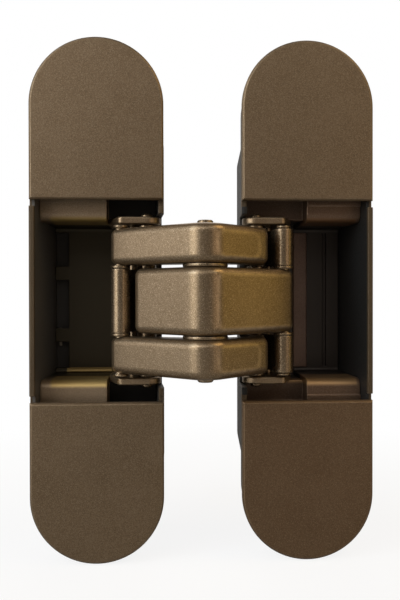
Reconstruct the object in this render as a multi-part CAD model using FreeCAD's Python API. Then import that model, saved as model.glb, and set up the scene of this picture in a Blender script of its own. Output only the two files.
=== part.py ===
import FreeCAD, Part
import math
import os

V = FreeCAD.Vector

# Concealed door hinge, shown open. Millimetres, +Z up, +Y into the wall or the door leaf.
# The origin is the middle of the frame side's screw pattern, on the back of its screw ends,
# and the door side stands to the right of it.

# The two bodies
body_w = 28.0
body_h = 110.0
body_gap = 16.4
end_depth = 11.0
end_floor_t = 3.0
end_inset = 0.3
box_depth = 24.0
box_h = 78.0
box_corner_r = 7.0
draft_angle = 3.7
wall = 1.1
bottom_t = 1.6
pocket_h = 66.0
pocket_corner_r = 3.5
rib_t = 3.5
rail_h = 39.6
rail_drop = 0.1
rim_bevel = 0.3

# Screws that hold a body in its recess
mount_pitch_x = 13.0
mount_pitch_z = 86.0
mount_hole_r = 2.3
mount_sink_r = 4.4

# Cover plates
cover_t = 1.5
cover_inner_z = 21.2
cover_inset = 0.05
cover_bevel = 0.4
peg_r = 0.95
peg_l = 3.5
peg_gap = 0.05
peg_end_z = 50.0
boss_wall = 1.2

# Linkage pivots, measured from the plane midway between the open bodies and from their faces
arm_pivot_x = 11.9
arm_pivot_y = 6.0
centre_y = -7.4
link_pin_x = 17.4
link_pin_y = 2.8
deep_pin_x = 15.2
deep_pin_y = 11.6
closed_gap = 4.6
link_turn = 110.0

# Arms, stacked along Z
inner_h = 13.5
prong_h = 7.8
knuckle_r = 5.4
eye_r = 2.25
tip_r = 1.95
arm_edge_r = 1.6
crook_r = 3.0
hook_r = 2.0
outer_shoulder_in = 0.7
washer_t = 0.7
side_gap = 0.05
run_gap = 0.05

# Pins, washers and links
pin_r = 1.25
centre_pin_r = 1.6
centre_pin_proud = 0.8
centre_washer_r = 4.5
pin_head_r = 1.6
pin_head_t = 0.8
pin_proud = 0.75
pin_bevel = 0.25
link_washer_r = 2.1
washer_edge_r = 0.2
spacer_r = 2.0
barrel_r = 2.0
link_web_r = 1.4
pivot_pin_r = 1.0
pivot_eye_r = 2.0
slot_gap = 0.15

# Ear plates
ear_t = 1.6
ear_gap = 0.3
ear_r = 3.0
ear_front_x = 17.9
ear_back_x = 20.3
ear_tail = 9.5
ear_corner_r = 1.2
ear_bevel = 0.25
rivet_r = 1.2
rivet_l = 3.0
rivet_inset = 2.2

# Carriers
carrier_end_gap = 2.0
carrier_gap = 0.1
carrier_front = 5.0
carrier_floor_t = 2.0
seat_y = 9.8
recess_h = 45.0
block_gap = 1.2
block_edge_r = 1.8
ledge_drop = 3.5
ledge_t = 0.4
floor_corner_r = 0.8
clamp_inset = 4.4
clamp_shift = 2.0
clamp_head_r = 3.0
clamp_head_l = 2.8
clamp_sunk = 0.2
clamp_r = 1.6
clamp_gap = 0.4
clamp_socket_r = 1.45
clamp_socket_l = 1.6

# Window in the wall beside the mouth
window_gap = 0.3

# What differs between the two carriers, and the marks on their floors
block_x = {"frame": 20.5, "door": 23.0}
slot_w = 3.1
tab_places = (6.4, -8.2)
tab_h = 3.2
strip_x = 22.7
strip_w = 3.3
strip_t = 0.6
strip_bevel = 0.2
mark_h = 32.0
mark_gap = 0.2
groove_x = 30.0
groove_w = 0.8
groove_t = 0.8

# Derived places. x counts from the midway plane towards a body's outer side.
half_w = body_w / 2
mouth_x = body_gap / 2
mid = mouth_x + half_w
pocket_half = half_w - wall
pocket_y = box_depth - bottom_t
floor_y = pocket_y - carrier_floor_t
inner_z = inner_h / 2
prong_z = inner_z + washer_t + side_gap
prong_top = prong_z + prong_h
ear_z = prong_top + pin_head_t + ear_gap
ear_top = ear_z + ear_t
ear_end_y = arm_pivot_y + ear_tail
block_z = ear_top - block_gap + ear_gap
recess_y = end_depth - end_floor_t
recess_z = pocket_h / 2 + rib_t
carrier_half_h = pocket_h / 2 - carrier_end_gap
mark_half = mark_h / 2
clamp_z = carrier_half_h - clamp_inset
slope = math.tan(math.radians(draft_angle))
ear_inner_x = mouth_x + wall + slope * (ear_end_y - cover_t) + ear_gap
past = 1.0


def turn(p, angle):
    """Turn a plan vector by an angle in radians."""
    c = math.cos(angle)
    s = math.sin(angle)
    return V(p.x * c - p.y * s, p.x * s + p.y * c, 0)


def heading(p):
    """Angle of a plan vector."""
    return math.atan2(p.y, p.x)


# Pivots of the door side, open
F = V(arm_pivot_x, arm_pivot_y, 0)
C = V(0, centre_y, 0)
L = V(link_pin_x, link_pin_y, 0)
G = V(deep_pin_x, deep_pin_y, 0)

# Closed, the centre pin lies midway between the two faces
closed_y = -closed_gap / 2
closed_reach = math.sqrt((C - F).Length ** 2 - (closed_y - F.y) ** 2)
swing = heading(V(closed_reach, closed_y - F.y, 0)) - heading(C - F)
counter_swing = math.pi - swing
link_swing = math.radians(link_turn)


def deep_pivot(k):
    """Place of the link's deep pin at a share k of the closing, with every pivot turning evenly."""
    c = F + turn(C - F, k * swing)
    pin = c + turn(L - C, k * counter_swing)
    return pin + turn(G - L, k * link_swing)


# The deep pin wanders a little, so its hole in the ears is the smallest circle around that wander
wander = [deep_pivot(i / 40) for i in range(41)]
slot_centre = G
for step in range(2, 400):
    farthest = max(wander, key=lambda p: (p - slot_centre).Length)
    slot_centre = slot_centre + (farthest - slot_centre) / step
slot_r = max((p - slot_centre).Length for p in wander) + pivot_pin_r + slot_gap


def box(x0, x1, y0, y1, z0, z1):
    return Part.makeBox(x1 - x0, y1 - y0, z1 - z0, V(x0, y0, z0))


def rod(p, r, z0, z1):
    """Cylinder along Z at a plan point."""
    return Part.makeCylinder(r, z1 - z0, V(p.x, p.y, z0))


def post(x, z, r, y0, y1):
    """Cylinder along Y."""
    return Part.makeCylinder(r, y1 - y0, V(x, y0, z), V(0, 1, 0))


def rims(shape):
    """Edges that lie level, around the top and the bottom of an upright piece."""
    return [e for e in shape.Edges if e.BoundBox.ZLength < 0.01]


def pin(p, r, z0, z1):
    """Rod along Z with bevelled ends."""
    made = rod(p, r, z0, z1)
    return made.makeChamfer(pin_bevel, rims(made))


def tube(p, r_out, r_in, z0, z1):
    """Ring or sleeve with a rounded rim."""
    made = rod(p, r_out, z0, z1)
    made = made.makeFillet(washer_edge_r, rims(made))
    return made.cut(rod(p, r_in, z0, z1))


def line(a, b):
    return Part.LineSegment(a, b).toShape()


def arc(a, b, c):
    return Part.Arc(a, b, c).toShape()


def prism(points, z0, z1):
    """Upright prism over a plan polygon."""
    ring = [V(p.x, p.y, z0) for p in points]
    return Part.Face(Part.makePolygon(ring + ring[:1])).extrude(V(0, 0, z1 - z0))


def taper(p, rp, q, rq, z0, z1):
    """Upright bar whose plan is the belt around two circles."""
    a = heading(q - p)
    b = math.acos((rp - rq) / (q - p).Length)

    def rim(centre, r, angle):
        return V(centre.x + r * math.cos(angle), centre.y + r * math.sin(angle), z0)

    edges = [line(rim(p, rp, a + b), rim(q, rq, a + b)),
             arc(rim(q, rq, a + b), rim(q, rq, a), rim(q, rq, a - b)),
             line(rim(q, rq, a - b), rim(p, rp, a - b)),
             arc(rim(p, rp, a - b), rim(p, rp, a + math.pi), rim(p, rp, a + b))]
    return Part.Face(Part.Wire(edges)).extrude(V(0, 0, z1 - z0))


def outline(half_width, half_height, r, y):
    """Rounded rectangle in the face's plane, on the body's centre line."""
    corners = []
    for i in range(4):
        start = i * math.pi / 2
        x = mid + (half_width - r) * (1 if i in (0, 3) else -1)
        z = (half_height - r) * (1 if i in (0, 1) else -1)
        angles = [start, start + math.pi / 4, start + math.pi / 2]
        corners.append([V(x + r * math.cos(a), y, z + r * math.sin(a)) for a in angles])
    edges = []
    for i, corner in enumerate(corners):
        edges.append(arc(*corner))
        following = corners[(i + 1) % 4][0]
        if (following - corner[2]).Length > 0.001:
            edges.append(line(corner[2], following))
    return Part.Wire(edges)


def slab(half_width, half_height, r, y0, y1):
    """Straight-sided slab in the face's plane."""
    return Part.Face(outline(half_width, half_height, r, y0)).extrude(V(0, y1 - y0, 0))


def cast_slab(half_width, half_height, r, y0, y1):
    """Slab that narrows towards the back, as a casting does, from its size at the back of the covers."""
    front = slope * (y0 - cover_t)
    back = slope * (y1 - cover_t)
    w = half_width - r
    h = half_height - r
    pieces = []
    for x in sorted({mid - w, mid + w}):
        for z in sorted({-h, h}):
            pieces.append(Part.makeCone(r - front, r - back, y1 - y0, V(x, y0, z), V(0, 1, 0)))
    wide = (half_width - front, half_width - back)
    tall = (half_height - front, half_height - back)
    pieces.append(Part.makeWedge(mid - wide[0], y0, -h, -h, mid - wide[1],
                                 mid + wide[0], y1, h, h, mid + wide[1]))
    if w > 0:
        pieces.append(Part.makeWedge(mid - w, y0, -tall[0], -tall[1], mid - w,
                                     mid + w, y1, tall[0], tall[1], mid + w))
    return pieces[0].fuse(pieces[1:]).removeSplitter()


def upright_edges(shape, wanted):
    """Straight edges along Z whose plan point passes a test."""
    picked = []
    for e in shape.Edges:
        if isinstance(e.Curve, Part.Line) and abs(e.tangentAt(e.FirstParameter).z) > 0.99:
            if wanted(e.CenterOfMass):
                picked.append(e)
    return picked


def flip(shape):
    """Mirror in the midway plane."""
    return shape.mirror(V(0, 0, 0), V(1, 0, 0))


def place(shape, side):
    """Move a piece drawn for the door side to its own side, and set it from the back of the screw ends."""
    moved = flip(shape) if side == "frame" else shape.copy()
    moved.translate(V(mid, -end_depth, 0))
    return moved


def housing():
    """Cast body: shallow screw ends, deep middle box, open pocket and the window at the mouth."""
    end_w = half_w - end_inset
    end_h = body_h / 2 - end_inset
    shell = cast_slab(end_w, end_h, end_w, cover_t, end_depth)
    shell = shell.fuse(cast_slab(half_w, box_h / 2, box_corner_r, cover_t, box_depth))
    rail = box(mid - half_w, mid + half_w, rail_drop, cover_t, -rail_h / 2, rail_h / 2)
    rail = rail.makeChamfer(rim_bevel, upright_edges(rail, lambda p: p.y < cover_t / 2))
    shell = shell.fuse(rail)
    hollow = [slab(pocket_half, pocket_h / 2, pocket_corner_r, -past, cover_t),
              cast_slab(pocket_half, pocket_h / 2, pocket_corner_r, cover_t, pocket_y)]
    inside = cast_slab(end_w - wall, end_h - wall, end_w - wall, cover_t, recess_y)
    middle = box(mid - half_w, mid + half_w, 0, end_depth, -recess_z, recess_z)
    recess = inside.cut(middle)
    bosses = [post(mid, s * peg_end_z, peg_r + peg_gap + boss_wall, cover_t, recess_y) for s in (1, -1)]
    hollow.append(recess.cut(Part.makeCompound(bosses)))
    window_z = ear_top + window_gap
    window_y = arm_pivot_y + ear_r
    hollow.append(box(mouth_x - past, mouth_x + half_w, -past, window_y, -window_z, window_z))
    for s in (1, -1):
        for z in (peg_end_z, pocket_h / 2 + rib_t / 2):
            hollow.append(post(mid, s * z, peg_r + peg_gap, 0, cover_t + peg_l + peg_gap))
        hollow.append(post(mid + clamp_shift, s * clamp_z, clamp_r, pocket_y - past, box_depth + past))
        for t in (1, -1):
            x = mid + t * mount_pitch_x / 2
            z = s * mount_pitch_z / 2
            hollow.append(post(x, z, mount_hole_r, 0, end_depth + past))
            sink = mount_sink_r - mount_hole_r
            hollow.append(Part.makeCone(mount_sink_r, mount_hole_r, sink, V(x, recess_y, z), V(0, 1, 0)))
    return shell.cut(hollow).removeSplitter()


def cover(s):
    """Clip-on plate over one screw end, with two pegs."""
    half = half_w - cover_inset
    plate = slab(half, body_h / 2 - cover_inset, half, 0, cover_t)
    keep = box(mid - half_w, mid + half_w, 0, cover_t, cover_inner_z, body_h / 2)
    plate = plate.common(keep)
    front = [f for f in plate.Faces if f.BoundBox.YMax < cover_t / 2]
    plate = plate.makeChamfer(cover_bevel, front[0].Edges)
    pegs = [post(mid, z, peg_r, cover_t, cover_t + peg_l) for z in (peg_end_z, pocket_h / 2 + rib_t / 2)]
    plate = plate.fuse(pegs)
    return plate if s > 0 else plate.mirror(V(0, 0, 0), V(0, 0, 1))


def rivet_points():
    """Plan places of an ear plate's two rivets."""
    y = ear_end_y - rivet_inset
    return [V(ear_inner_x + rivet_inset, y, 0), V(ear_back_x - rivet_inset, y, 0)]


def ear(s):
    """Steel plate that holds the arm pin, with a wide hole for the link's deep pin."""
    front_y = arm_pivot_y - ear_r
    corners = [V(ear_inner_x, arm_pivot_y, 0), V(arm_pivot_x, front_y, 0), V(ear_front_x, front_y, 0),
               V(ear_back_x, seat_y, 0), V(ear_back_x, ear_end_y, 0), V(ear_inner_x, ear_end_y, 0)]
    plate = prism(corners, ear_z, ear_top)
    plate = plate.makeFillet(ear_corner_r, upright_edges(plate, lambda p: p.x > ear_front_x - 0.1))
    plate = plate.fuse(rod(F, ear_r, ear_z, ear_top)).removeSplitter()
    plate = plate.makeChamfer(ear_bevel, rims(plate))
    holes = [rod(F, pin_r, ear_z, ear_top), rod(slot_centre, slot_r, ear_z, ear_top)]
    holes += [rod(p, rivet_r, ear_z, ear_top) for p in rivet_points()]
    plate = plate.cut(holes)
    return plate if s > 0 else plate.mirror(V(0, 0, 0), V(0, 0, 1))


def rivets():
    """Flush rivets of both ear plates."""
    found = []
    for p in rivet_points():
        found += [rod(p, rivet_r, ear_z, ear_top + rivet_l), rod(p, rivet_r, -ear_top - rivet_l, -ear_z)]
    return Part.makeCompound(found)


def carrier(side):
    """Block in the pocket: two end blocks joined by a floor, with seats for the ear plates."""
    half = pocket_half - carrier_gap
    edge_x = block_x[side]
    shape = cast_slab(half, carrier_half_h, pocket_corner_r - carrier_gap, carrier_front, pocket_y)
    low = mid - half - past
    high = mid + half + past
    well = box(low, high, 0, floor_y, -block_z, block_z)
    well = well.makeFillet(floor_corner_r, [e for e in well.Edges if e.BoundBox.XLength > half
                                            and e.CenterOfMass.y > floor_y - 0.01])
    cuts = [well,
            box(low, edge_x, 0, floor_y, -ear_top, ear_top),
            box(low, edge_x, 0, seat_y, -recess_h / 2, recess_h / 2)]
    shape = shape.cut(cuts)
    rim = [e for e in shape.Edges if abs(abs(e.CenterOfMass.z) - block_z) < 0.01
           and abs(e.CenterOfMass.y - carrier_front) < 0.01]
    shape = shape.makeFillet(block_edge_r, rim)
    if side == "door":
        ledge_z = block_z + ledge_drop
        ledge = cast_slab(half, carrier_half_h, pocket_corner_r - carrier_gap, carrier_front - ledge_t,
                          carrier_front)
        shape = shape.fuse(ledge.cut([box(low, high, 0, carrier_front, -ledge_z, ledge_z),
                                      box(low, edge_x, 0, carrier_front, -box_h, box_h)]))
        strip_seat = box(strip_x - mark_gap, strip_x + strip_w + mark_gap,
                         floor_y - strip_t - mark_gap, floor_y,
                         -mark_half - mark_gap, mark_half + mark_gap)
        shape = shape.cut(strip_seat).removeSplitter()
    drills = []
    for s in (1, -1):
        drills.append(post(mid + clamp_shift, s * clamp_z, clamp_r + clamp_gap, 0, pocket_y + past))
        head_y = carrier_front + clamp_sunk + clamp_head_l
        drills.append(post(mid + clamp_shift, s * clamp_z, clamp_head_r + clamp_gap, 0, head_y))
    for p in rivet_points():
        drills.append(rod(p, rivet_r, ear_top, ear_top + rivet_l))
        drills.append(rod(p, rivet_r, -ear_top - rivet_l, -ear_top))
    if side == "frame":
        slot_x = mid + half - slope * (floor_y - cover_t) - slot_w
        ends = [mark_half]
        for z in tab_places:
            ends += [z + tab_h / 2, z - tab_h / 2]
        ends.append(-mark_half)
        for top, bottom in zip(ends[::2], ends[1::2]):
            drills.append(box(slot_x, high, floor_y - past / 2, pocket_y + past, bottom, top))
    else:
        groove_y = floor_y + groove_t
        drills.append(box(groove_x, groove_x + groove_w, floor_y, groove_y, -mark_half, mark_half))
    return shape.cut(drills)


def wear_strip():
    """Strip on the door carrier's floor where the folded arm comes to rest."""
    made = box(strip_x, strip_x + strip_w, floor_y - strip_t, floor_y, -mark_half, mark_half)
    return made.makeChamfer(strip_bevel, upright_edges(made, lambda p: p.y < floor_y - strip_t / 2))


def clamp_screws():
    """Two socket-head screws that clamp a carrier to the bottom of its pocket."""
    found = []
    head_y = carrier_front + clamp_sunk
    for s in (1, -1):
        x = mid + clamp_shift
        z = s * clamp_z
        seat = head_y + clamp_head_l
        screw = post(x, z, clamp_head_r, head_y, seat)
        screw = screw.fuse(post(x, z, clamp_r, seat, box_depth - clamp_gap))
        corners = [V(x + clamp_socket_r * math.cos(math.pi * i / 3), head_y,
                     z + clamp_socket_r * math.sin(math.pi * i / 3)) for i in range(6)]
        socket = Part.Face(Part.makePolygon(corners + corners[:1])).extrude(V(0, clamp_socket_l, 0))
        found.append(screw.cut(socket))
    return Part.makeCompound(found)


def arm(z0, z1, centre_hole_r, shoulder_in):
    """V-shaped arm with its hooked pivot eye on the right and its link pin on the left."""
    far = V(-L.x, L.y, 0)
    shoulder_x = F.x - shoulder_in
    shoulder = V(shoulder_x, C.y + (L.y - C.y) * shoulder_x / L.x, 0)
    limb = taper(C, knuckle_r, shoulder, eye_r, z0, z1)
    eye = taper(shoulder, eye_r, F, eye_r, z0, z1)
    shape = taper(C, knuckle_r, far, tip_r, z0, z1).fuse([limb, eye]).removeSplitter()
    crook = upright_edges(shape, lambda p: abs(p.x) < 0.5 and p.y > C.y)
    shape = shape.makeFillet(crook_r, crook)
    hook = upright_edges(shape, lambda p: knuckle_r < p.x < shoulder.x and shoulder.y < p.y < F.y - 0.1)
    shape = shape.makeFillet(hook_r, hook)
    shape = shape.makeFillet(arm_edge_r, rims(shape))
    holes = [rod(C, centre_hole_r, z0, z1), rod(far, pin_r, z0, z1), rod(F, pin_r + run_gap, z0, z1)]
    return shape.cut(holes)


def link(z0, z1):
    """Link from the barrel on the link pin to the eye on the deep pin."""
    web = taper(L, link_web_r, G, link_web_r, z0, z1)
    shape = rod(L, barrel_r, z0, z1).fuse([web, rod(G, pivot_eye_r, z0, z1)])
    return shape.removeSplitter().cut([rod(L, pin_r + run_gap, z0, z1), rod(G, pivot_pin_r, z0, z1)])


def headed_pin(head_z):
    """Link pin with a flat head at each end, seated at head_z."""
    heads = [pin(L, pin_head_r, head_z, prong_top + pin_head_t),
             pin(L, pin_head_r, -prong_top - pin_head_t, -head_z)]
    return rod(L, pin_r, -head_z, head_z).fuse(heads)


def upper(make):
    """Piece drawn above the middle, and its copy below."""
    return {"upper": make, "lower": make.mirror(V(0, 0, 0), V(0, 0, 1))}


nodes = {}

for side in ("frame", "door"):
    nodes[side + "_housing"] = place(housing(), side)
    nodes[side + "_carrier"] = place(carrier(side), side)
    nodes[side + "_clamp_screws"] = place(clamp_screws(), side)
    nodes[side + "_ear_rivets"] = place(rivets(), side)
    for end, s in (("upper", 1), ("lower", -1)):
        nodes[side + "_cover_" + end] = place(cover(s), side)
        nodes[side + "_ear_" + end] = place(ear(s), side)
    nodes[side + "_arm_pin"] = place(pin(F, pin_r, -ear_top - pin_proud, ear_top + pin_proud), side)
    nodes[side + "_pivot_pin"] = place(pin(G, pivot_pin_r, -ear_top + side_gap, ear_top - side_gap), side)

# The inner arm's hooked eye is on the frame side, the outer arm's on the door side
nodes["inner_arm"] = place(arm(-inner_z, inner_z, centre_pin_r + run_gap, 0), "frame")
for end, piece in upper(arm(prong_z, prong_top, centre_pin_r, outer_shoulder_in)).items():
    nodes["outer_arm_" + end] = place(piece, "door")
pin_end = prong_top + centre_pin_proud
nodes["centre_pin"] = place(pin(C, centre_pin_r, -pin_end, pin_end), "door")
for end, piece in upper(tube(C, centre_washer_r, centre_pin_r, prong_z - washer_t, prong_z)).items():
    nodes["centre_washer_" + end] = place(piece, "door")

# Frame side: one link between the prongs, spacers on the arm pin beside the inner arm
nodes["frame_link"] = place(link(-inner_z, inner_z), "frame")
nodes["frame_link_pin"] = place(headed_pin(prong_top), "frame")
for end, piece in upper(tube(L, link_washer_r, pin_r, prong_z - washer_t, prong_z)).items():
    nodes["frame_link_washer_" + end] = place(piece, "frame")
for end, piece in upper(tube(F, spacer_r, pin_r, inner_z + side_gap, ear_z)).items():
    nodes["frame_spacer_" + end] = place(piece, "frame")

nodes["door_wear_strip"] = place(wear_strip(), "door")

# Door side: two links around the inner arm's end, one spacer between the prongs' eyes
for end, piece in upper(link(prong_z, prong_top)).items():
    nodes["door_link_" + end] = place(piece, "door")
nodes["door_link_pin"] = place(headed_pin(prong_top + side_gap), "door")
for end, piece in upper(tube(L, link_washer_r, pin_r, inner_z, inner_z + washer_t)).items():
    nodes["door_link_washer_" + end] = place(piece, "door")
nodes["door_spacer"] = place(tube(F, spacer_r, pin_r, -prong_z + side_gap, prong_z - side_gap), "door")
for end, piece in upper(tube(F, spacer_r, pin_r, prong_top + side_gap, ear_z)).items():
    nodes["door_arm_washer_" + end] = place(piece, "door")

os.makedirs("parts", exist_ok=True)
for name, shape in nodes.items():
    shape.exportStep("parts/" + name + ".step")
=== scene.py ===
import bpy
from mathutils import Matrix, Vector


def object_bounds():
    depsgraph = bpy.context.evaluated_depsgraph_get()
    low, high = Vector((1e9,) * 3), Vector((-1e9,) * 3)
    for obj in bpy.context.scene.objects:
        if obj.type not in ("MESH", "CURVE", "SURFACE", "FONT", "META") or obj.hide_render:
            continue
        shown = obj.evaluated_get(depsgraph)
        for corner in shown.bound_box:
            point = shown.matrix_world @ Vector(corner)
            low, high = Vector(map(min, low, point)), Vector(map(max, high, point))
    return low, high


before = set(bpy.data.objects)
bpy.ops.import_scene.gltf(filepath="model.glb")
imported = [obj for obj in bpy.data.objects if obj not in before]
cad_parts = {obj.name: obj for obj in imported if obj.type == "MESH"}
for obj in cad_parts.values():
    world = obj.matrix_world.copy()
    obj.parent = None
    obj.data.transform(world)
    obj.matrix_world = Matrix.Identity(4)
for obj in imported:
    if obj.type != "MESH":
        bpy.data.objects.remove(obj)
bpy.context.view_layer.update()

import math

import bpy
from mathutils import Vector

scene = bpy.context.scene
scene.view_settings.view_transform = "Standard"

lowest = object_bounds()[0].z
middle = sum(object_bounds(), Vector()) / 2

# Camera: place in metres, turn to the left, tilt up and roll in radians, focal length in image heights,
# sensor in millimetres, nearest distance seen in metres
camera_place = (0.01387, -0.157, 0.00142)
camera_turn = -0.0524
camera_tilt = -0.0084
camera_roll = 0.0015
focal_heights = 697.7 / 600
sensor_width = 36.0
nearest_seen = 0.005

# Stage in metres: half width, gap below the hinge, place and top of the backdrop
stage_half = 1.5
floor_gap = 0.0002
backdrop_y = 0.7
backdrop_top = 1.2

# Stage materials: tone as light falls on it, share of white near the hinge, share of white to mirrored rays
floor_look = ((0.35, 0.35, 0.35), 0.86, 0.1)
backdrop_look = ((0.80, 0.80, 0.80), 1.0, 0.35)
stage_shown = (0.90, 0.90, 0.90)
stage_rough = 0.9
mottle_noise = (40.0, 2.0)
mottle_shade = 0.99
# Distances from the hinge's foot, in metres, between which the stage turns fully white to the camera
white_from = 0.05
white_at = 0.16

# World: colour and strength of its light, share of white to mirrored rays
world_colour = (1.0, 0.66, 0.40, 1.0)
world_strength = 0.08
world_mirrored = 0.10

# Lamps: angles from the front in degrees, reach, width and height in metres, power in watts, colour
lamps = (
    ("key", -52, 15, 0.55, 0.30, 0.45, 1.45, (1.0, 0.99, 0.95)),
    ("window", -60, 30, 0.55, 0.12, 0.25, 0.55, (0.60, 0.80, 1.0)),
    ("left_side", -82, 13, 0.55, 0.30, 0.38, 0.46, (1.0, 0.98, 0.97)),
    ("left_top", -66, 48, 0.50, 0.30, 0.25, 0.40, (1.0, 0.97, 0.92)),
    ("front", -22, 34, 0.70, 0.45, 0.30, 0.74, (1.0, 0.98, 0.96)),
    ("fill", 30, 40, 0.60, 0.30, 0.25, 0.30, (1.0, 1.0, 0.96)),
    ("warm_front", 42, 4, 0.55, 0.24, 0.40, 0.30, (1.0, 0.76, 0.52)),
    ("warm_side", 86, 6, 0.50, 0.30, 0.40, 0.25, (1.0, 0.70, 0.11)),
    ("back", 180, 42, 0.55, 0.40, 0.30, 0.60, (1.0, 0.96, 0.90)),
    ("warm_top", 74, 46, 0.50, 0.30, 0.20, 0.65, (1.0, 0.72, 0.34)),
)

# Noises of the finish, each with its scale per metre, its detail and where needed its roughness:
# slow change of tone, grain, bright flecks, dark pits, and the patchiness of the paler edges and of the
# painted highlight lines
grain = 4200.0
cloud_noise = (130.0, 4.0)
grain_noise = (grain, 2.0, 0.6)
glint_noise = (grain * 1.7, 1.0)
pit_noise = (grain * 1.2, 1.0)
wear_and_sheen_noise = (700.0, 3.0)

# Noise values between which each of these goes from its first to its second strength
cloud_range = (0.35, 0.65, 0.0, 1.0)
glint_range = (0.52, 0.68, 0.0, 0.8)
pit_range = (0.36, 0.48, 0.35, 0.0)
wear_and_sheen_range = (0.30, 0.62, 0.35, 1.0)
grain_range = (0.3, 0.7)

# How dark a pit and how bright the paler edges are, from wear and a painted sheen, how strongly a painted
# highlight line shines and how softly it ends in metres, how far the roughness varies, strength of the relief
# and its depth in metres
pit_shade = 0.45
wear_and_sheen_glow = 1.6
highlight_line_shine = 0.30
line_soft = 0.0006
rough_spread = 0.07
relief_strength = 0.3
relief_depth = 0.00003

# Paler edges, from wear and a painted sheen: how far the finish rounds a sharp edge in metres, rays for it,
# and the cosines of the turn from the face at which the paler edge starts and is full
edge_radius = 0.00035
edge_rays = 6
wear_and_sheen_starts = 0.985
wear_and_sheen_full = 0.85

# Lean of the cast walls
lean = math.tan(math.radians(3.7))

# Flat faces of the arms' right limbs, round whose fillets a highlight line is painted, in metres:
# x from and to, z from and to, corner radius, half line width
right_face_highlights = ((0.0245, 0.0460, -0.0054, 0.0054, 0.0016, 0.00005),
               (0.0245, 0.0336, 0.0088, 0.0138, 0.0016, 0.00005))

# Places painted with light or shade: lowest and highest corner in metres, lean of the sides,
# soft margin in metres
# Lighter left inner wall of the frame housing: painted light
left_wall_painted_light = ((-0.0128, -0.0098, -0.033), (-0.0110, 0.0105, 0.033), lean, 0.0002)
# Darker right inner wall of the door housing: painted shade
right_wall_painted_shade = ((0.0555, -0.0098, -0.033), (0.0572, 0.0105, 0.033), -lean, 0.0002)
# Golden line at the lower corner of the frame carrier's floor: painted highlight
floor_corner_highlight = ((-0.0088, 0.0084, -0.0168), (0.0040, 0.0098, -0.0160), 0.0, 0.0002)
# Small bright spots beside the tab in the frame housing: painted glints
painted_glints = (((-0.0109, 0.0080, -0.0070), (-0.0104, 0.0120, -0.0066), 0.0, 0.0001),
              ((-0.0109, 0.0080, -0.0108), (-0.0104, 0.0120, -0.0099), 0.0, 0.0001))
# Golden edges of the frame carrier's blocks: painted sheen
left_upper_edge_sheen = ((-0.0100, -0.0105, 0.0168), (0.0050, 0.0020, 0.0176), 0.0, 0.0007)
left_lower_edge_sheen = ((-0.0100, -0.0105, -0.0182), (0.0050, 0.0020, -0.0170), 0.0, 0.0007)
# Near-black recesses by the frame carrier's blocks: painted shadow
upper_recess_shadow = ((0.0019, -0.0105, 0.0172), (0.0125, 0.0080, 0.0330), 0.0, 0.0002)
lower_recess_shadow = ((0.0019, -0.0105, -0.0330), (0.0125, 0.0080, -0.0172), 0.0, 0.0002)
# Dark mouth rim of the door housing: painted shade
right_rim_shade = ((0.0298, -0.0115, -0.0207), (0.0335, -0.0103, 0.0207), 0.0, 0.0002)
# Reddish-golden edges of the door carrier's blocks: painted sheen
right_upper_edge_sheen = ((0.0420, -0.0105, 0.0168), (0.0560, 0.0020, 0.0176), 0.0, 0.0006)
right_lower_edge_sheen = ((0.0420, -0.0105, -0.0182), (0.0560, 0.0020, -0.0172), 0.0, 0.0006)

# Painted shade inside the housings: a dark grey, with the two depths in metres between which the surface
# darkens to it
housing_inside_shade = ((0.050, 0.046, 0.042), -0.0098, -0.006)


def add_camera():
    data = bpy.data.cameras.new("camera")
    data.sensor_width = sensor_width
    data.lens = sensor_width * focal_heights
    data.clip_start = nearest_seen
    view = bpy.data.objects.new("camera", data)
    view.location = camera_place
    view.rotation_euler = (math.pi / 2 + camera_tilt, camera_roll, camera_turn)
    scene.collection.objects.link(view)
    scene.camera = view


def link(tree, source, target):
    tree.links.new(source, target)


def noise(tree, vector, scale, detail, roughness=0.5):
    """Noise texture in metres, read through its factor."""
    made = tree.nodes.new("ShaderNodeTexNoise")
    made.inputs["Scale"].default_value = scale
    made.inputs["Detail"].default_value = detail
    made.inputs["Roughness"].default_value = roughness
    link(tree, vector, made.inputs["Vector"])
    return made.outputs["Factor" if "Factor" in made.outputs else "Fac"]


def spread(tree, value, low, high, to_low, to_high):
    """Map a value's range onto another."""
    made = tree.nodes.new("ShaderNodeMapRange")
    made.inputs["From Min"].default_value = low
    made.inputs["From Max"].default_value = high
    made.inputs["To Min"].default_value = to_low
    made.inputs["To Max"].default_value = to_high
    link(tree, value, made.inputs["Value"])
    return made.outputs["Result"]


def blend(tree, factor, first, second):
    """Mix two colours, each a socket or a written colour."""
    made = tree.nodes.new("ShaderNodeMix")
    made.data_type = "RGBA"
    link(tree, factor, made.inputs["Factor"])
    for socket, colour in ((made.inputs[6], first), (made.inputs[7], second)):
        if isinstance(colour, tuple):
            socket.default_value = (*colour, 1.0)
        else:
            link(tree, colour, socket)
    return made.outputs[2]


def times(tree, first, second):
    """Product of two values, the second a socket or a number."""
    made = tree.nodes.new("ShaderNodeMath")
    made.operation = "MULTIPLY"
    link(tree, first, made.inputs[0])
    if isinstance(second, float):
        made.inputs[1].default_value = second
    else:
        link(tree, second, made.inputs[1])
    return made.outputs["Value"]


def most(tree, first, second):
    """Larger of two values."""
    made = tree.nodes.new("ShaderNodeMath")
    made.operation = "MAXIMUM"
    link(tree, first, made.inputs[0])
    link(tree, second, made.inputs[1])
    return made.outputs["Value"]


def band(tree, value, low, high, soft):
    """One between two values, fading to zero over a soft margin outside them."""
    rising = spread(tree, value, low - soft, low, 0.0, 1.0)
    falling = spread(tree, value, high, high + soft, 1.0, 0.0)
    return times(tree, rising, falling)


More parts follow.
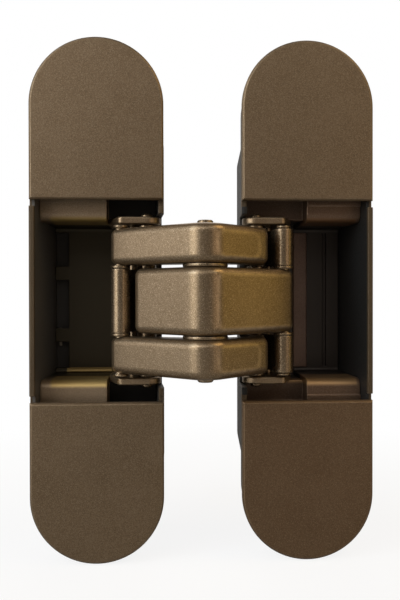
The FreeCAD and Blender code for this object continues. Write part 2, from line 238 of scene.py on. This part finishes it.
def edges(tree):
    """Normal rounded over nearby edges, and a mask that is one where it turns away from the face."""
    rounded = tree.nodes.new("ShaderNodeBevel")
    rounded.samples = edge_rays
    rounded.inputs["Radius"].default_value = edge_radius
    face = tree.nodes.new("ShaderNodeNewGeometry")
    turned = tree.nodes.new("ShaderNodeVectorMath")
    turned.operation = "DOT_PRODUCT"
    link(tree, rounded.outputs["Normal"], turned.inputs[0])
    link(tree, face.outputs["Normal"], turned.inputs[1])
    worn_and_sheen = spread(tree, turned.outputs["Value"], wear_and_sheen_starts, wear_and_sheen_full, 0.0, 1.0)
    return rounded.outputs["Normal"], worn_and_sheen


def within(tree, parts, low, high, slope, soft):
    """One inside a box, whose sides lean along Y by a slope, fading over a soft margin outside it."""
    across = tree.nodes.new("ShaderNodeMath")
    across.operation = "MULTIPLY_ADD"
    link(tree, parts.outputs["Y"], across.inputs[0])
    across.inputs[1].default_value = -slope
    link(tree, parts.outputs["X"], across.inputs[2])
    inside = band(tree, across.outputs["Value"], low[0], high[0], soft)
    inside = times(tree, inside, band(tree, parts.outputs["Y"], low[1], high[1], soft))
    return times(tree, inside, band(tree, parts.outputs["Z"], low[2], high[2], soft))


def vector_step(tree, operation, first, second):
    """Vector operation on a socket and a written vector."""
    made = tree.nodes.new("ShaderNodeVectorMath")
    made.operation = operation
    link(tree, first, made.inputs[0])
    made.inputs[1].default_value = second
    return made.outputs["Value" if operation == "LENGTH" else "Vector"]


def outline(tree, parts, x_low, x_high, z_low, z_high, r, half_line):
    """Line around a rounded rectangle seen from the front, the same above and below the middle."""
    upper = tree.nodes.new("ShaderNodeMath")
    upper.operation = "ABSOLUTE"
    link(tree, parts.outputs["Z"], upper.inputs[0])
    flat = tree.nodes.new("ShaderNodeCombineXYZ")
    link(tree, parts.outputs["X"], flat.inputs["X"])
    link(tree, upper.outputs["Value"], flat.inputs["Z"])
    centre = ((x_low + x_high) / 2, 0, (z_low + z_high) / 2)
    corner = ((x_high - x_low) / 2 - r, 0, (z_high - z_low) / 2 - r)
    from_centre = vector_step(tree, "SUBTRACT", flat.outputs["Vector"], centre)
    folded = vector_step(tree, "ABSOLUTE", from_centre, (0, 0, 0))
    past = vector_step(tree, "SUBTRACT", folded, corner)
    reach = vector_step(tree, "LENGTH", vector_step(tree, "MAXIMUM", past, (0, 0, 0)), (0, 0, 0))
    return band(tree, reach, r - half_line, r + half_line, line_soft)


def finish(name, tone, shade, fleck, metallic, rough,
           wear_and_sheen=0.5, depth_shade=None, painted_light_patches=(), highlight_lines=(), specular=0.5):
    """Satin finish: uneven tone, fine flecks, edges paler from wear and a painted sheen, and a roughness and
    bump that follow the grain. deep gives the colour of a painted shade and the two depths between which the
    surface darkens to it, patches colours of painted light and shade and the boxes that have them, and lines
    the outlines along which a highlight is painted."""
    made = bpy.data.materials.new(name)
    made.use_nodes = True
    tree = made.node_tree
    shader = tree.nodes["Principled BSDF"]
    shader.inputs["Metallic"].default_value = metallic
    shader.inputs["Specular IOR Level"].default_value = specular
    place = tree.nodes.new("ShaderNodeTexCoord").outputs["Object"]
    parts = tree.nodes.new("ShaderNodeSeparateXYZ")
    link(tree, place, parts.inputs["Vector"])
    cloud = spread(tree, noise(tree, place, *cloud_noise), *cloud_range)
    speck = noise(tree, place, *grain_noise)
    glint = spread(tree, noise(tree, place, *glint_noise), *glint_range)
    pit = spread(tree, noise(tree, place, *pit_noise), *pit_range)
    colour = blend(tree, cloud, tone, shade)
    colour = blend(tree, pit, colour, tuple(c * pit_shade for c in shade))
    colour = blend(tree, glint, colour, fleck)
    rounded, worn_and_sheen = edges(tree)
    patchy = spread(tree, noise(tree, place, *wear_and_sheen_noise), *wear_and_sheen_range)
    bright = tuple(min(1.0, c * wear_and_sheen_glow) for c in fleck)
    # Edges painted paler: wear together with a painted sheen along the edges
    colour = blend(tree, times(tree, times(tree, worn_and_sheen, patchy), wear_and_sheen), colour, bright)
    # Painted highlight lines along the fillets of the arms' right faces
    for line in highlight_lines:
        highlight = times(tree, outline(tree, parts, *line), patchy)
        colour = blend(tree, times(tree, highlight, highlight_line_shine), colour, bright)
    # Painted shade: the colour darkens deeper inside the pockets
    if depth_shade:
        inside, starts, full = depth_shade
        colour = blend(tree, spread(tree, parts.outputs["Y"], starts, full, 0.0, 1.0), colour, inside)
    # Patches of painted light and shade
    for painted_light_tone, *box in painted_light_patches:
        colour = blend(tree, within(tree, parts, *box), colour, painted_light_tone)
    link(tree, colour, shader.inputs["Base Color"])
    roughness = spread(tree, speck, *grain_range, rough - rough_spread, rough + rough_spread)
    link(tree, roughness, shader.inputs["Roughness"])
    relief = tree.nodes.new("ShaderNodeBump")
    relief.inputs["Strength"].default_value = relief_strength
    relief.inputs["Distance"].default_value = relief_depth
    link(tree, speck, relief.inputs["Height"])
    link(tree, rounded, relief.inputs["Normal"])
    link(tree, relief.outputs["Normal"], shader.inputs["Normal"])
    return made


def pale(name, tone, near, mirrored):
    """Stage material: a plain pale surface that keeps some of its shading near the hinge, where near is its
    share of white, and is white to the camera farther out. Mirrored rays see it white by a share of their
    own."""
    made = bpy.data.materials.new(name)
    made.use_nodes = True
    tree = made.node_tree
    shader = tree.nodes["Principled BSDF"]
    place = tree.nodes.new("ShaderNodeTexCoord").outputs["Object"]
    rays = tree.nodes.new("ShaderNodeLightPath")
    mottle = noise(tree, place, *mottle_noise)
    colour = blend(tree, mottle, tone, tuple(c * mottle_shade for c in tone))
    link(tree, blend(tree, rays.outputs["Is Camera Ray"], colour, stage_shown), shader.inputs["Base Color"])
    shader.inputs["Roughness"].default_value = stage_rough
    reach = tree.nodes.new("ShaderNodeVectorMath")
    reach.operation = "DISTANCE"
    link(tree, place, reach.inputs[0])
    reach.inputs[1].default_value = (middle.x, middle.y, lowest)
    seen = spread(tree, reach.outputs["Value"], white_from, white_at, near, 1.0)
    glow = tree.nodes.new("ShaderNodeEmission")
    direct = times(tree, rays.outputs["Is Camera Ray"], seen)
    white = most(tree, direct, times(tree, rays.outputs["Is Glossy Ray"], mirrored))
    white = most(tree, white, rays.outputs["Is Transmission Ray"])
    mixed = tree.nodes.new("ShaderNodeMixShader")
    link(tree, white, mixed.inputs["Fac"])
    link(tree, shader.outputs["BSDF"], mixed.inputs[1])
    link(tree, glow.outputs["Emission"], mixed.inputs[2])
    link(tree, mixed.outputs["Shader"], tree.nodes["Material Output"].inputs["Surface"])
    return made


def add_sheet(name, corners, material):
    """Flat stage piece."""
    mesh = bpy.data.meshes.new(name)
    mesh.from_pydata(corners, [], [(0, 1, 2, 3)])
    mesh.materials.append(material)
    sheet = bpy.data.objects.new(name, mesh)
    scene.collection.objects.link(sheet)


def add_stage():
    left, right = -stage_half, stage_half
    floor = lowest - floor_gap
    add_sheet("floor", [(left, left, floor), (right, left, floor),
                        (right, right, floor), (left, right, floor)],
              pale("floor_white", *floor_look))
    add_sheet("backdrop", [(left, backdrop_y, floor), (right, backdrop_y, floor),
                           (right, backdrop_y, backdrop_top), (left, backdrop_y, backdrop_top)],
              pale("backdrop_white", *backdrop_look))


def add_world():
    """White where the camera looks past the stage, dim and warm as light."""
    world = bpy.data.worlds.new("world")
    world.use_nodes = True
    tree = world.node_tree
    ground = tree.nodes["Background"]
    ground.inputs["Color"].default_value = world_colour
    ground.inputs["Strength"].default_value = world_strength
    white = tree.nodes.new("ShaderNodeBackground")
    white.inputs["Color"].default_value = (1.0, 1.0, 1.0, 1.0)
    rays = tree.nodes.new("ShaderNodeLightPath")
    mixed = tree.nodes.new("ShaderNodeMixShader")
    shown = most(tree, rays.outputs["Is Camera Ray"], rays.outputs["Is Transmission Ray"])
    shown = most(tree, shown, times(tree, rays.outputs["Is Glossy Ray"], world_mirrored))
    link(tree, shown, mixed.inputs["Fac"])
    link(tree, ground.outputs["Background"], mixed.inputs[1])
    link(tree, white.outputs["Background"], mixed.inputs[2])
    link(tree, mixed.outputs["Shader"], tree.nodes["World Output"].inputs["Surface"])
    scene.world = world


def add_lamp(name, azimuth, elevation, reach, width, height, power, colour):
    """Soft box that faces the hinge, placed by its angles from the front in degrees."""
    data = bpy.data.lights.new(name, "AREA")
    data.shape = "RECTANGLE"
    data.size = width
    data.size_y = height
    data.energy = power
    data.color = colour
    lamp = bpy.data.objects.new(name, data)
    side = math.radians(azimuth)
    rise = math.radians(elevation)
    away = Vector((math.sin(side) * math.cos(rise), -math.cos(side) * math.cos(rise), math.sin(rise)))
    lamp.location = middle + reach * away
    lamp.rotation_euler = (-away).to_track_quat("-Z", "Y").to_euler()
    lamp.visible_camera = False
    scene.collection.objects.link(lamp)


# Finishes by kind of node or by the node's own name: tone, shade, fleck, metallic, roughness
materials = {
    "cover": finish("cover_paint", (0.170, 0.118, 0.070), (0.155, 0.106, 0.061),
                    (0.25, 0.19, 0.125), 0.75, 0.46, wear_and_sheen=0.9),
    # Lower right cover: the cover paint made darker and redder, a painted shade where light falls off towards
    # the lower right
    "door_cover_lower": finish("painted_shade_cover_paint", (0.150, 0.094, 0.053), (0.137, 0.084, 0.046),
                               (0.21, 0.15, 0.09), 0.75, 0.46, wear_and_sheen=0.9),
    "arm": finish("arm_paint", (0.200, 0.143, 0.085), (0.178, 0.126, 0.073),
                  (0.46, 0.36, 0.25), 0.85, 0.33, highlight_lines=right_face_highlights),
    "link": finish("link_paint", (0.218, 0.156, 0.096), (0.192, 0.136, 0.083),
                   (0.40, 0.32, 0.22), 0.85, 0.29),
    "ear": finish("ear_paint", (0.270, 0.194, 0.120), (0.240, 0.170, 0.104),
                  (0.42, 0.33, 0.22), 0.85, 0.34),
    "frame_housing": finish("frame_housing_paint", (0.085, 0.060, 0.035), (0.072, 0.050, 0.029),
                            (0.12, 0.09, 0.06), 0.4, 0.52, depth_shade=housing_inside_shade, specular=0.2,
                            painted_light_patches=(((0.115, 0.108, 0.100), *left_wall_painted_light),
                                     *(((0.37, 0.34, 0.29), *spot) for spot in painted_glints))),
    "door_housing": finish("door_housing_paint", (0.085, 0.060, 0.035), (0.072, 0.050, 0.029),
                           (0.12, 0.09, 0.06), 0.4, 0.52, depth_shade=housing_inside_shade, specular=0.2,
                           painted_light_patches=(((0.024, 0.023, 0.022), *right_wall_painted_shade),
                                    ((0.020, 0.019, 0.018), *right_rim_shade))),
    # The carriers darken deeper in as painted shade, and carry painted highlights and shadows in patches
    "frame_carrier": finish("frame_carrier_paint", (0.275, 0.200, 0.127), (0.248, 0.178, 0.112),
                            (0.36, 0.28, 0.20), 0.7, 0.44, depth_shade=((0.050, 0.040, 0.024), -0.004, 0.003),
                            painted_light_patches=(((0.32, 0.22, 0.08), *floor_corner_highlight),
                                     ((0.36, 0.25, 0.09), *left_upper_edge_sheen),
                                     ((0.44, 0.31, 0.12), *left_lower_edge_sheen),
                                     ((0.016, 0.013, 0.010), *upper_recess_shadow),
                                     ((0.012, 0.010, 0.008), *lower_recess_shadow))),
    "door_carrier": finish("door_carrier_paint", (0.150, 0.093, 0.060), (0.132, 0.080, 0.050),
                           (0.24, 0.17, 0.12), 0.7, 0.42, depth_shade=((0.056, 0.046, 0.039), -0.004, 0.004),
                           painted_light_patches=(((0.22, 0.12, 0.06), *right_upper_edge_sheen),
                                    ((0.34, 0.21, 0.10), *right_lower_edge_sheen))),
    "steel": finish("plated_steel", (0.220, 0.160, 0.100), (0.190, 0.138, 0.085),
                    (0.36, 0.29, 0.20), 0.9, 0.28),
    "strip": finish("wear_strip", (0.200, 0.122, 0.088), (0.175, 0.105, 0.075),
                    (0.26, 0.17, 0.13), 0.3, 0.44),
}
steel_words = {"pin", "rivets", "screws", "washer", "spacer"}


def material_for(node):
    """Finish of a CAD node, by what it is."""
    words = set(node.split("_"))
    if words & steel_words:
        return materials["steel"]
    for kind in ("strip", "link", "ear", "arm"):
        if kind in words:
            return materials[kind]
    return materials.get(node, materials["cover"])


def dress_nodes():
    for name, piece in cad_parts.items():
        for slot in piece.material_slots:
            slot.material = material_for(name)


add_camera()
add_stage()
add_world()
for lamp in lamps:
    add_lamp(*lamp)
dress_nodes()
